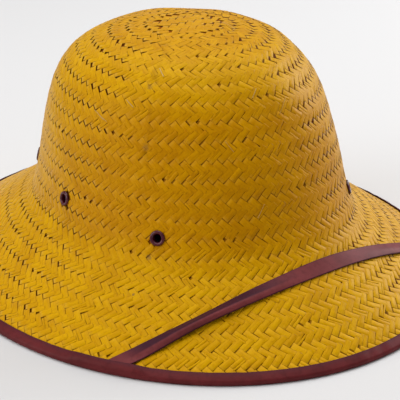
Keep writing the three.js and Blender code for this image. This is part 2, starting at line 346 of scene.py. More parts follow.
class Shell:
    """The straw's top face as tables over angle and share, from the crown's middle (0) to the edge (1)."""

    def __init__(self):
        self.places, self.lengths = even_lines(raw_lines())
        round_step = TABLE_ANGLES[1]
        ahead = np.concatenate([self.places[1:], self.places[1:2]])
        behind = np.concatenate([self.places[-2:-1], self.places[:-1]])
        self.round = (ahead - behind) / (2 * round_step)
        self.down = np.gradient(self.places, TABLE_SHARES, axis=1)
        outward = np.cross(self.round, self.down)
        outward[:, 0] = (0, 0, 1)
        outward = unit(outward)
        self.outward = outward * np.sign(outward[:, :, 2:3].mean())
        off = dents(TABLE_ANGLES[:, None], TABLE_SHARES[None, :])
        self.places = self.places + self.outward * off[..., None]


def sample(table, angle, share):
    """Reads a table between its entries: the weighted mean of the four round the wanted angle and share."""
    turn = np.mod(angle / ROUND, 1) * (table.shape[0] - 1)
    row = np.clip(share, 0, 1) * (table.shape[1] - 1)
    i = np.minimum(turn.astype(int), table.shape[0] - 2)
    j = np.minimum(row.astype(int), table.shape[1] - 2)
    across = (turn - i)[..., None]
    along = (row - j)[..., None]
    near = table[i, j] * (1 - along) + table[i, j + 1] * along
    far = table[i + 1, j] * (1 - along) + table[i + 1, j + 1] * along
    return near * (1 - across) + far * across


def off_surface(shell, angle, share, off):
    """Points so far off the straw's top face, along its outward direction."""
    return sample(shell.places, angle, share) + sample(shell.outward, angle, share) * off[..., None]


# Meshes


def grid_quads(rows, columns, close_rows=False, close_columns=False):
    """The quads between neighbours of a grid numbered row by row; a closed direction runs round."""
    row = np.arange(rows if close_rows else rows - 1)[:, None]
    column = np.arange(columns if close_columns else columns - 1)[None, :]
    next_row = (row + 1) % rows * columns
    next_column = (column + 1) % columns
    row = row * columns
    quads = np.stack([row + column, row + next_column, next_row + next_column, next_row + column], axis=-1)
    return quads.reshape(-1, 4)


def enclosed_volume(points, face_groups):
    """The signed volume: a sixth of the sum of each fan triangle's triple product."""
    total = 0.0
    for faces in face_groups:
        first = points[faces[:, 0]]
        for corner in range(1, faces.shape[1] - 1):
            cross = np.cross(points[faces[:, corner]], points[faces[:, corner + 1]])
            total += float((first * cross).sum())
    return total / 6


def make_mesh(name, points, face_groups, flat_groups=()):
    """A mesh in metres from points in millimetres and arrays of faces, turned to face outwards.

    Faces in flat_groups are shaded flat, so the smooth ones beside them keep a crisp edge.
    """
    groups = [*face_groups, *flat_groups]
    if enclosed_volume(points, groups) < 0:
        groups = [group[:, ::-1] for group in groups]
    corners = np.concatenate([group.ravel() for group in groups]).astype(np.int32)
    sizes = np.concatenate([np.full(len(group), group.shape[1]) for group in groups])
    smooth = np.repeat(np.arange(len(groups)) < len(face_groups), [len(group) for group in groups])
    mesh = bpy.data.meshes.new(name)
    mesh.vertices.add(len(points))
    mesh.vertices.foreach_set("co", (points * MM).astype(np.float32).ravel())
    mesh.loops.add(len(corners))
    mesh.loops.foreach_set("vertex_index", corners)
    mesh.polygons.add(len(sizes))
    mesh.polygons.foreach_set("loop_start", (np.cumsum(sizes) - sizes).astype(np.int32))
    mesh.polygons.foreach_set("use_smooth", smooth)
    mesh.update(calc_edges=True)
    if mesh.validate():
        raise RuntimeError(f"{name} has faces that aren't valid")
    return mesh


def add_point_values(mesh, name, values):
    """Puts one number for each point into the mesh."""
    mesh.attributes.new(name, "FLOAT", "POINT").data.foreach_set("value", values.astype(np.float32).ravel())


def add_uv(mesh, name, coordinates):
    """Puts two numbers for each point into a UV map."""
    corners = np.zeros(len(mesh.loops), np.int32)
    mesh.loops.foreach_get("vertex_index", corners)
    mesh.uv_layers.new(name=name).data.foreach_set("uv", coordinates[corners].astype(np.float32).ravel())


def show_piece(name, mesh, material, nodes=()):
    """Puts a finished mesh into the scene as a piece of the part."""
    mesh.materials.append(material)
    piece = bpy.data.objects.new(name, mesh)
    bpy.context.scene.collection.objects.link(piece)
    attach(piece, "root")
    if nodes:
        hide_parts(*nodes)
    return piece


# The plaiting

# A strip's arch along its length: how far along, and its shares of the open end's and the filled end's dip.
# The open end (along 1) lies at a row of notches, the other one at a row that paint has filled.
ARCH = {
    "along": np.array([-1.0, -0.93, -0.85, 0.0, 0.84, 0.92, 1.0]),
    "open": np.array([0.0, 0.0, 0.0, 0.0, -0.22, 0.6, 1.0]),
    "filled": np.array([1.0, 0.4, 0.1, 0.0, 0.0, 0.0, 0.0]),
}
# A strip's cut end: how far across, and how far below its crest.
CUT = {
    "across": np.array([-1.0, -0.94, 0.0, 0.94, 1.0]),
    "below": np.array([1.0, 0.15, 0.0, 0.15, 1.0]),
}
TUCKED_LENGTH = 1.2
CREST = 0.2
FILL = 0.995
SMOOTHINGS = 9
FOLLOWS_NEIGHBOURS = 0.5
# The crown's front was drawn tight: its middle and half its width, and how far its border fades.
QUIET_MIDDLE = math.radians(25)
QUIET_HALF = math.radians(32)
QUIET_FADE = math.radians(24)
GAPE_FRONT = 0.22
GAPE_SIDE = 1.15
GAPE_STRETCH = 1.6
GAPE_NARROWING = 0.1
CROWN_SHARE = 0.66
# The pale slivers that the photograph shows: the angle round the crown and the share of the way down it.
SLIVERS = (
    (math.radians(305.5), 0.05),
    (math.radians(2.0), 0.325),
    (math.radians(351.0), 0.378),
    (math.radians(73.2), 0.395),
    (math.radians(61.0), 0.346),
    (math.radians(10.0), 0.601),
)
UNCUT = 1000.0
CORE_DEPTH = 0.36
CORE_LINES = 144
CORE_ROWS = 280
CORE_FIRST = 0.006
NOTCH_DEPTH = 0.45
BAND_BULGE = 0.3
VENT_CLEAR = EYELET_BARREL + 0.25
SHORTEST_STUMP = 1.4
BRIM_GAPE = 0.8
# How far one strip may differ from the next: its slip as a share of its half length, its lift in
# millimetres, and its tilt and its turn as slopes.
SLIP = 0.03
LIFT = 0.06
TILT = 0.025
TURNED = 0.03
MIDDLE_ROWS = 6
MIDDLE_OVERLAP = 0.4
PEG_REACH = 8
PEG_CORNERS = 32
# A sliver's nearest strip counts a whole way down the hat as this many radians round it.
SHARE_WEIGHT = 3
SHOWN_SLIVER_STRETCH = 1.4


def ring_table(shell, share):
    """Lengths run round the ring at this share, at the table's angles."""
    ring = sample(shell.places, TABLE_ANGLES, np.full_like(TABLE_ANGLES, share))
    steps = np.linalg.norm(np.diff(ring, axis=0), axis=1)
    return np.concatenate([[0], np.cumsum(steps)])


def evened(turns):
    """Moves each strip on a ring a little to the middle between its neighbours, several times over."""
    for _ in range(SMOOTHINGS):
        before = np.roll(turns, 1) - np.r_[1.0, np.zeros(len(turns) - 1)]
        after = np.roll(turns, -1) + np.r_[np.zeros(len(turns) - 1), 1.0]
        turns = (before + 2 * turns + after) / 4
    return turns


def ring_turns(shell, shares, pitch):
    """Where the strips of each ring lie, as shares of its length.

    A ring's strips start half-way between those of the ring before. Where the ring has grown, strips
    are added at golden-ratio steps round it, and then all of them are evened out.
    """
    rings = []
    added = 0
    for share in shares:
        wanted = round(ring_table(shell, share)[-1] / pitch)
        if rings:
            last = rings[-1]
            turns = (last + np.r_[last[1:], last[0] + 1]) / 2
            extra = max(wanted - len(turns), 0)
            steps = np.mod((added + np.arange(extra)) * GOLDEN_STEP, 1)
            added += extra
            turns = evened(np.sort(np.mod(np.concatenate([turns, steps]), 1)))
        else:
            turns = (np.arange(wanted) + 0.5) / wanted
        rings.append(np.sort(np.mod(turns, 1)))
    return rings


def run_to_neighbour(turns, others, side):
    """Length round the ring, as a share, from each strip to the nearest one of another ring on one side."""
    if side > 0:
        nearest = np.searchsorted(others, turns)
        found = np.where(nearest < len(others), others[nearest % len(others)], others[0] + 1)
    else:
        nearest = np.searchsorted(others, turns) - 1
        found = np.where(nearest >= 0, others[nearest % len(others)], others[-1] - 1)
    return found - turns


def ring_strips(shell, shares, turns_of, ring, plait, inside):
    """One ring's strips: for each, its angle, share, direction, half length and half width.

    The slant changes from ring to ring. A strip heads half-way for its neighbours in the rings above and
    below, and half at the plaiting's own lean. Its width fills its place between its neighbours.
    """
    turns = turns_of[ring]
    run = ring_table(shell, shares[ring])
    slant = 1 if (ring % 2 == 0) != inside else -1
    below = turns_of[min(ring + 1, len(turns_of) - 1)]
    above = turns_of[max(ring - 1, 0)]
    even_run = plait["pitch"] / run[-1]
    down_run = slant * run_to_neighbour(turns, below, slant) if ring + 1 < len(turns_of) else even_run / 2
    up_run = -slant * run_to_neighbour(turns, above, -slant) if ring > 0 else even_run / 2
    wanted = even_run + FOLLOWS_NEIGHBOURS * (np.clip(down_run + up_run, 0, 2 * even_run) - even_run)
    heading = unit(np.stack([slant * wanted * run[-1], np.full(len(turns), plait["spacing"])], axis=-1))
    room = (np.r_[turns[1:], turns[0] + 1] - np.r_[turns[-1] - 1, turns[:-1]]) / 2 * run[-1]
    return {
        "angle": np.interp(turns * run[-1], run, TABLE_ANGLES),
        "share": np.full(len(turns), shares[ring]),
        "heading": heading,
        "half_length": plait["spacing"] / 2 / heading[:, 1] * TUCKED_LENGTH,
        "half_width": room * heading[:, 1] / 2 * FILL,
        "aside": np.zeros(len(turns)),
        "notch_side": np.full(len(turns), 1.0 if ring % 2 == 0 else -1.0),
        "raised": np.zeros(len(turns)),
    }


def local_step(shell, angle, share, x, y):
    """Turns steps in millimetres, round the ring and down the line, into steps of angle and share."""
    around = sample(shell.round, angle, share)
    down = sample(shell.down, angle, share)
    around_length = np.linalg.norm(around, axis=-1)
    along_ring = (down * around).sum(axis=-1) / around_length
    square_on = np.linalg.norm(down - around * (along_ring / around_length)[..., None], axis=-1)
    share_step = y / square_on
    return (x - share_step * along_ring) / around_length, share_step


def joint_values(strips, random):
    """How wide each strip's open end gapes and how much its other joints show, both from 0 to 1.

    The crown's front was drawn tight. Beside it the ends gape by the sine of the turn from there: the
    strips of one lean on one side of the hat and those of the other lean on its other side.
    """
    count = len(strips["angle"])
    turn = np.mod(strips["angle"] - QUIET_MIDDLE + math.pi, ROUND) - math.pi
    beside = smoothstep(np.abs(turn), QUIET_HALF, QUIET_HALF + QUIET_FADE)
    leaning = 0.5 + 0.5 * np.clip(1.4 * np.sin(turn) * strips["notch_side"], -1, 1)
    on_brim = strips["share"] > CROWN_SHARE
    gape = GAPE_FRONT + beside * GAPE_SIDE * leaning * np.where(on_brim & (turn > 0), BRIM_GAPE, 1.0)
    gape = gape * np.where(on_brim, BRIM_GAPE, 1.0) * random.uniform(0.5, 1.3, count)
    shows = 0.02 + 0.45 * random.uniform(0, 1, count) ** 4
    shows = np.where(on_brim, random.uniform(0.1, 0.42, count), shows)
    return np.clip(gape, 0, 1)[:, None, None], shows[:, None, None]


def strip_grid(strips, gape, shows, random, sizes):
    """Every strip's points before they are bent onto the shell: steps along and across it, and its drop.

    The open end's steps are drawn back by how wide it gapes. The drop is each end's share of the dip plus
    the cut edge's share of the thickness, and a little that differs from strip to strip: a lift, a
    sideways tilt and a slip along its own length.
    """
    count = len(strips["angle"])
    step = ARCH["along"][None, :, None]
    step = np.where(step > 0.5, 1 - (1 - step) * (1 + GAPE_STRETCH * gape), step)
    turned = strips["notch_side"][:, None, None]
    slip = random.uniform(-SLIP, SLIP, (count, 1, 1))
    along = (step + slip) * strips["half_length"][:, None, None] * turned
    along = np.clip(along, strips["cut_from"][:, None, None], strips["cut_to"][:, None, None])
    opened = np.maximum(ARCH["open"], 0)[None, :, None] * gape
    width = strips["half_width"][:, None, None] * random.uniform(0.97, 1.01, (count, 1, 1))
    across = CUT["across"][None, None, :] * width * (1 - GAPE_NARROWING * opened) * turned
    across = across + strips["aside"][:, None, None]
    dip = ARCH["open"][None, :, None] * (0.4 + 0.6 * gape) + ARCH["filled"][None, :, None] * 0.3 * shows
    edge = CUT["below"][None, None, :] * (0.04 + 0.9 * shows + opened)
    uneven = 0.2 + shows
    lift = random.uniform(-LIFT, LIFT, (count, 1, 1))
    tilt = random.normal(0, TILT, (count, 1, 1))
    drop = sizes["dip"] * dip + sizes["thickness"] * edge + uneven * (lift + tilt * across)
    drop = drop - strips["raised"][:, None, None]
    return along + 0 * drop, across + 0 * drop, drop


def strip_quads(count):
    """Faces of strips numbered one after another: tops to shade smooth, and sides and ends to shade flat."""
    stations, corners = len(ARCH["along"]), len(CUT["across"])
    quads = grid_quads(stations, corners, close_columns=True)
    top = quads.reshape(stations - 1, corners, 4)[:, 1:3].reshape(-1, 4)
    sides = quads.reshape(stations - 1, corners, 4)[:, [0, 3, 4]].reshape(-1, 4)
    near_end = np.arange(corners)[None, ::-1]
    far_end = np.arange(corners)[None, :] + (stations - 1) * corners
    starts = (np.arange(count) * stations * corners)[:, None, None]
    ends = np.concatenate([near_end, far_end])
    return [(faces[None] + starts).reshape(-1, faces.shape[1]) for faces in (top, sides, ends)]


def strips_mesh(name, shell, shares, strips, random, sizes, inside):
    """Bends the strips onto the shell and joins them into one mesh, with a UV map and a shade for each.

    Outside, the shell sinks a little along each row of notches, so the bands between them bulge.
    """
    gape, shows = joint_values(strips, random)
    along, across, drop = strip_grid(strips, gape, shows, random, sizes)
    heading = unit(strips["heading"] + random.normal(0, TURNED, strips["heading"].shape))
    east, south = heading[:, 0, None, None], heading[:, 1, None, None]
    x = along * east - across * south
    y = along * south + across * east
    if "plan" in strips:
        plan = strips["plan"][:, None, None, :] + np.stack([x, y], axis=-1)
        angle = np.arctan2(-plan[..., 0], -plan[..., 1])
        line_length = np.interp(np.mod(angle, ROUND), TABLE_ANGLES, shell.lengths)
        share = np.hypot(plan[..., 0], plan[..., 1]) / line_length
    else:
        angle = strips["angle"][:, None, None] + 0 * x
        share = strips["share"][:, None, None] + 0 * x
        angle_step, share_step = local_step(shell, angle, share, x, y)
        angle, share = angle + angle_step, share + share_step
    sunk = BAND_BULGE * notch_share(shares, share)
    off = drop - CREST - WALL if inside else CREST - drop - sunk
    points = off_surface(shell, angle, share, off).reshape(-1, 3)
    top, sides, ends = strip_quads(len(strips["angle"]))
    mesh = make_mesh(name, points, [top], [sides, ends])
    across_share = CUT["across"][None, None, :] + 0 * along
    add_uv(mesh, "strip", np.stack([along, across_share], axis=-1).reshape(-1, 2))
    add_point_values(mesh, "notch", ARCH["along"][None, :, None] + 0 * along)
    add_point_values(mesh, "gape", gape + 0 * along)
    add_point_values(mesh, "joints", shows + 0 * along)
    shade = random.uniform(0, 1, (len(strips["angle"]), 1, 1)) + 0 * drop
    add_point_values(mesh, "shade", shade)
    return mesh


def chosen(strips, keep):
    return {name: values[keep] for name, values in strips.items()}


def joined(rows):
    return {name: np.concatenate([row[name] for row in rows]) for name in rows[0]}


def strip_axes(shell, strips):
    """Each strip's middle, and its directions along and across on the shell."""
    angle, share = strips["angle"], strips["share"]
    around = unit(sample(shell.round, angle, share))
    down = unit(np.cross(sample(shell.outward, angle, share), around))
    down = down * np.sign((down * sample(shell.down, angle, share)).sum(axis=-1, keepdims=True))
    east, south = strips["heading"][:, :1], strips["heading"][:, 1:]
    return sample(shell.places, angle, share), around * east + down * south, down * east - around * south


def cut_at_vents(shell, strips, seats):
    """Ends the strips that would cross a vent's hole at its rim: one stump stays on each side of the hole.

    Half the length that is left out is a chord's half: the root of the hole's radius squared less the
    square of the strip's nearest distance from its middle.
    """
    uncut = np.full(len(strips["angle"]), UNCUT)
    strips = {**strips, "cut_from": -uncut, "cut_to": uncut}
    for seat in seats:
        middle, along, across = strip_axes(shell, strips)
        to_vent = seat["centre"] - middle
        ahead = (to_vent * along).sum(axis=-1)
        aside = np.abs((to_vent * across).sum(axis=-1))
        nearest = np.maximum(aside - strips["half_width"], 0)
        crosses = (np.linalg.norm(to_vent, axis=-1) < 4 * VENT_CLEAR) & (nearest < VENT_CLEAR)
        half_chord = np.sqrt(np.maximum(VENT_CLEAR**2 - nearest**2, 0))
        before, after = chosen(strips, crosses), chosen(strips, crosses)
        before["cut_to"] = np.minimum(before["cut_to"], (ahead - half_chord)[crosses])
        after["cut_from"] = np.maximum(after["cut_from"], (ahead + half_chord)[crosses])
        strips = joined([chosen(strips, ~crosses), before, after])
    reach = strips["half_length"]
    left = np.minimum(strips["cut_to"], reach) - np.maximum(strips["cut_from"], -reach)
    return chosen(strips, left > SHORTEST_STUMP)


def centre_strips(shell, plait, reach, inside):
    """The plaiting over the crown's middle: a flat two-over-two twill that leans the same way.

    Strip row r holds strips a pitch apart, shifted by half a pitch from row to row, and leans the
    other way in each next row.
    """
    numbers = np.arange(-MIDDLE_ROWS, MIDDLE_ROWS + 1)
    row, column = np.meshgrid(numbers, numbers, indexing="ij")
    x = (column + 0.5 * (row % 2)) * plait["pitch"]
    y = row * plait["spacing"]
    keep = np.hypot(x, y) < reach
    x, y, row = x[keep], y[keep], row[keep]
    slant = np.where((row % 2 == 0) != inside, 1.0, -1.0)
    heading = unit(np.stack([slant * plait["pitch"], np.full(len(x), plait["spacing"])], axis=-1))
    return {
        "plan": np.stack([x, y], axis=-1),
        "angle": np.mod(np.arctan2(-x, -y), ROUND),
        "share": np.hypot(x, y) / shell.lengths[0],
        "heading": heading,
        "half_length": plait["spacing"] / 2 / heading[:, 1] * TUCKED_LENGTH,
        "half_width": plait["pitch"] * heading[:, 1] / 2 * FILL,
        "aside": np.zeros(len(x)),
        "notch_side": np.where(row % 2 == 0, 1.0, -1.0),
        "raised": np.zeros(len(x)),
        "cut_from": np.full(len(x), -UNCUT),
        "cut_to": np.full(len(x), UNCUT),
    }


def ring_shares(shell, plait, first_ring):
    """Shares of the rings from the first one to the edge, and the distance between them that fits exactly."""
    mean_length = shell.lengths.mean()
    start = first_ring / mean_length
    count = round((1 - start) * mean_length / plait["spacing"])
    shares = start + (1 - start) * (np.arange(count) + 0.25) / count
    return shares, (1 - start) * mean_length / count


def with_splits(strips, random, share):
    """Some of the strips split lengthwise in two narrower ones that lie side by side."""
    count = len(strips["angle"])
    split = random.uniform(0, 1, count) < share
    part = random.uniform(0.3, 0.7, count)[split]
    wide, narrow = chosen(strips, split), chosen(strips, split)
    whole = wide["half_width"]
    wide["half_width"], narrow["half_width"] = whole * part, whole * (1 - part)
    wide["aside"], narrow["aside"] = wide["aside"] - whole * (1 - part), narrow["aside"] + whole * part
    return joined([chosen(strips, ~split), wide, narrow])


def notch_share(shares, share):
    """1 at a row of open notches, 0 at a row filled with paint: a cosine over two rings' spacing."""
    ring = (share - shares[0]) / (shares[1] - shares[0])
    return 0.5 + 0.5 * np.cos(math.pi * (ring - 0.5))


def core_mesh(shell, shares):
    """The leaf inside the wall that shows between the strips: the shell's face at two depths, closed.

    One profile runs down the outer depth from the crown's middle and back up the inner one. The outer
    face goes deeper under the rows of notches.
    """
    angles = np.linspace(0, ROUND, CORE_LINES, endpoint=False)
    rows = np.linspace(CORE_FIRST, 1, CORE_ROWS)
    profile = np.concatenate([rows, rows[::-1]])
    notches = notch_share(shares, profile)
    outer_depth = -CORE_DEPTH - NOTCH_DEPTH * notches[: len(rows)]
    depth = np.concatenate([outer_depth, np.full(len(rows), CORE_DEPTH - WALL)])
    angle, share = np.meshgrid(angles, profile, indexing="ij")
    points = off_surface(shell, angle, share, depth[None, :] + 0 * angle).transpose(1, 0, 2).reshape(-1, 3)
    quads = grid_quads(len(profile), len(angles), close_columns=True)
    first = np.arange(len(angles))[None, ::-1]
    last = np.arange(len(angles))[None, :] + (len(profile) - 1) * len(angles)
    mesh = make_mesh("straw_core", points, [quads], [first, last])
    add_point_values(mesh, "notch", np.repeat(notches, len(angles)))
    return mesh


def bore_cutter(seats):
    """Six straight pegs, one through each vent, joined into one mesh."""
    turn = np.linspace(0, ROUND, PEG_CORNERS, endpoint=False)
    circle = np.stack([np.cos(turn), np.sin(turn), 0 * turn], axis=-1) * (EYELET_BARREL + GAP)
    ends = np.stack([circle + [0, 0, -PEG_REACH], circle + [0, 0, PEG_REACH]])
    points, sides, caps = [], [], []
    for number, seat in enumerate(seats):
        start = number * 2 * len(turn)
        points.append((ends.reshape(-1, 3)) @ seat["axes"] + seat["centre"])
        sides.append(grid_quads(2, len(turn), close_columns=True) + start)
        caps.append(np.arange(len(turn))[None, ::-1] + start)
        caps.append(np.arange(len(turn))[None, :] + start + len(turn))
    return make_mesh("vent_pegs", np.concatenate(points), [np.concatenate(sides)], [np.concatenate(caps)])


def pierced(mesh, seats):
    """The mesh with the vents' round holes cut through it."""
    scene = bpy.context.scene
    body = bpy.data.objects.new("straw_to_pierce", mesh)
    pegs = bpy.data.objects.new("vent_pegs", bore_cutter(seats))
    scene.collection.objects.link(body)
    scene.collection.objects.link(pegs)
    cut = body.modifiers.new("vents", "BOOLEAN")
    cut.operation = "DIFFERENCE"
    cut.solver = "EXACT"
    cut.object = pegs
    result = bpy.data.meshes.new_from_object(body.evaluated_get(bpy.context.evaluated_depsgraph_get()))
    bpy.data.objects.remove(body)
    bpy.data.objects.remove(pegs)
    result.name = mesh.name
    return result


def vent_seats(shell):
    """Where each vent sits: its place on the shell, its axes (across, up and out) and its node's name."""
    seats = []
    for hand, sign in (("right", 1), ("left", -1)):
        for where, degrees, height in VENTS:
            angle = np.mod(sign * math.radians(degrees), ROUND)
            line = sample(shell.places, np.full_like(TABLE_SHARES, angle), TABLE_SHARES)
            share = np.interp(-height, -line[:, 2], TABLE_SHARES)
            centre = sample(shell.places, np.array([angle]), np.array([share]))[0]
            out = unit(sample(shell.outward, np.array([angle]), np.array([share]))[0])
            across = unit(np.cross([0, 0, 1], out))
            axes = np.stack([across, np.cross(out, across), out])
            seats.append({"node": f"eyelet_{hand}_{where}", "centre": centre, "axes": axes})
    return seats


def loose_slivers(strips, random, count):
    """Slivers torn off some strips: each keeps its strip's place, and is narrow, a little turned and raised.

    The first few are the ones that the photograph shows, at the strips nearest to their places.
    """
    on_crown = np.flatnonzero(strips["share"] < CROWN_SHARE)
    picked = random.choice(on_crown, count, replace=False)
    for number, (angle, share) in enumerate(SLIVERS):
        turn = np.abs(np.mod(strips["angle"] - angle + math.pi, ROUND) - math.pi)
        picked[number] = (turn + np.abs(strips["share"] - share) * SHARE_WEIGHT).argmin()
    slivers = chosen(strips, picked)
    slivers["heading"] = unit(slivers["heading"] + random.normal(0, 0.2, slivers["heading"].shape))
    slivers["half_length"] = slivers["half_length"] * random.uniform(0.5, 1.1, count)
    slivers["half_width"] = random.uniform(0.14, 0.28, count)
    slivers["half_length"][: len(SLIVERS)] *= SHOWN_SLIVER_STRETCH
    slivers["raised"] = random.uniform(0.1, 0.5, count)
    return slivers


# Materials

# Tints, linear: sheen on paint, painted shade on the crown's front, the seam line's shade and painted shade
# on the vinyl's rims and fold.
WARM_SHEEN = (1.0, 0.75, 0.3, 1.0)
SHADE_TINT = (0.9, 0.78, 0.8, 1.0)
SEAM_SHADE = (0.4, 0.33, 0.3, 1.0)
RIM_AND_FOLD_SHADE = (0.028, 0.006, 0.018, 1.0)
# The stains that the photograph shows: the middle and the radius in millimetres, and how dark each is.
STAINS = (
    ((-76.7, -77.5, 45.2), 2.4, 0.6),
    ((-93.5, -87.6, 29.9), 1.3, 0.7),
    ((-67.0, -59.7, 106.2), 3.0, 0.35),
    ((-55.5, -46.0, 137.3), 2.5, 0.4),
)
STAIN = (0.13, 0.085, 0.045, 1.0)
SEAM_ANGLE = math.radians(48.5)

def add_node(tree, kind, inputs=(), **settings):
    """Adds a node. settings are its own properties; inputs are numbers or other nodes' sockets."""
    node = tree.nodes.new(kind)
    for name, value in settings.items():
        setattr(node, name, value)
    for name, value in dict(inputs).items():
        if isinstance(value, bpy.types.NodeSocket):
            tree.links.new(value, node.inputs[name])
        else:
            node.inputs[name].default_value = value
    return node


def new_material(name, **surface):
    """A material with one Principled surface, and that surface's node."""
    material = bpy.data.materials.new(name)
    material.use_nodes = True
    tree = material.node_tree
    tree.nodes.clear()
    shader = add_node(tree, "ShaderNodeBsdfPrincipled", surface)
    add_node(tree, "ShaderNodeOutputMaterial", {"Surface": shader.outputs[0]})
    return material, tree, shader


def mix(tree, amount, first, second, blend_type="MIX"):
    """The blend of two colours by an amount."""
    node = add_node(tree, "ShaderNodeMix", data_type="RGBA", blend_type=blend_type)
    for identifier, value in (("Factor_Float", amount), ("A_Color", first), ("B_Color", second)):
        socket = next(s for s in node.inputs if s.identifier == identifier)
        if isinstance(value, bpy.types.NodeSocket):
            tree.links.new(value, socket)
        else:
            socket.default_value = value
    return next(s for s in node.outputs if s.identifier == "Result_Color")


def ramp(tree, value, start, end, low=0.0, high=1.0):
    """A value moved smoothly from low to high between start and end."""
    inputs = {0: value, 1: start, 2: end, 3: low, 4: high}
    return add_node(tree, "ShaderNodeMapRange", inputs, interpolation_type="SMOOTHSTEP").outputs[0]


def maths(tree, operation, first, second=0.0, third=0.0):
    """The result of one sum on numbers or sockets."""
    return add_node(tree, "ShaderNodeMath", {0: first, 1: second, 2: third}, operation=operation).outputs[0]


def noise(tree, vector, scale, detail=2.0, roughness=0.5):
    """Noise whose size is given by a scale in patterns for each unit of its vector."""
    inputs = {"Vector": vector, "Scale": scale, "Detail": detail, "Roughness": roughness}
    return add_node(tree, "ShaderNodeTexNoise", inputs).outputs["Fac"]


def bump(tree, height, distance, strength=1.0):
    """A surface normal tilted by a height, whose full step is a real distance in metres."""
    inputs = {"Height": height, "Distance": distance, "Strength": strength}
    return add_node(tree, "ShaderNodeBump", inputs).outputs["Normal"]


def tinted(tree, amount, base, tint):
    """A colour multiplied by a tint, by an amount."""
    return mix(tree, amount, base, tint, blend_type="MULTIPLY")


def stained(tree, object_place, base):
    """The paint with its few stains: each is darkest in its middle and fades to its rim."""
    dirt = noise(tree, object_place, 900.0)
    for middle, radius, strength in STAINS:
        centre = tuple(length * MM for length in middle)
        distance = add_node(tree, "ShaderNodeVectorMath", {0: object_place, 1: centre}, operation="DISTANCE")
        ragged = maths(tree, "MULTIPLY_ADD", dirt, radius * MM, distance.outputs["Value"])
        base = mix(tree, ramp(tree, ragged, 1.5 * radius * MM, 0.7 * radius * MM, 0.0, strength), base, STAIN)
    return base


def darkened(tree, object_place, base):
    """The crown's front wall, painted darker and more orange as painted shade, its top a little darker too,
    and its faint upright seam.
    """
    parts = add_node(tree, "ShaderNodeSeparateXYZ", {0: object_place}).outputs
    forward = (-math.sin(QUIET_MIDDLE), -math.cos(QUIET_MIDDLE), 0.0)
    facing = add_node(tree, "ShaderNodeVectorMath", {0: object_place, 1: forward}, operation="DOT_PRODUCT")
    wall = maths(tree, "MULTIPLY", ramp(tree, parts[2], 0.035, 0.06), ramp(tree, parts[2], 0.145, 0.115))
    wall = maths(tree, "MULTIPLY", wall, ramp(tree, facing.outputs["Value"], 0.0, 0.08))
    top = ramp(tree, parts[2], 0.146, 0.155, 0.0, 0.5)
    # The front wall's darker, more orange tint is painted shade; the top is only made a little darker.
    base = tinted(tree, maths(tree, "MAXIMUM", wall, top), base, SHADE_TINT)
    beside = (math.cos(SEAM_ANGLE), -math.sin(SEAM_ANGLE), 0.0)
    distance = add_node(tree, "ShaderNodeVectorMath", {0: object_place, 1: beside}, operation="DOT_PRODUCT")
    wander = maths(tree, "MULTIPLY_ADD", noise(tree, object_place, 90.0), 0.008, -0.004)
    distance = maths(tree, "ADD", distance.outputs["Value"], wander)
    patches = ramp(tree, noise(tree, object_place, 150.0), 0.4, 0.65)
    line = ramp(tree, maths(tree, "ABSOLUTE", distance), 0.0025, 0.0005, 0.0, 0.3)
    seam = maths(tree, "MULTIPLY", line, patches)
    seam = maths(tree, "MULTIPLY", seam, ramp(tree, parts[2], 0.085, 0.1))
    seam = maths(tree, "MULTIPLY", seam, ramp(tree, facing.outputs["Value"], 0.0, 0.02))
    return tinted(tree, seam, base, SEAM_SHADE)


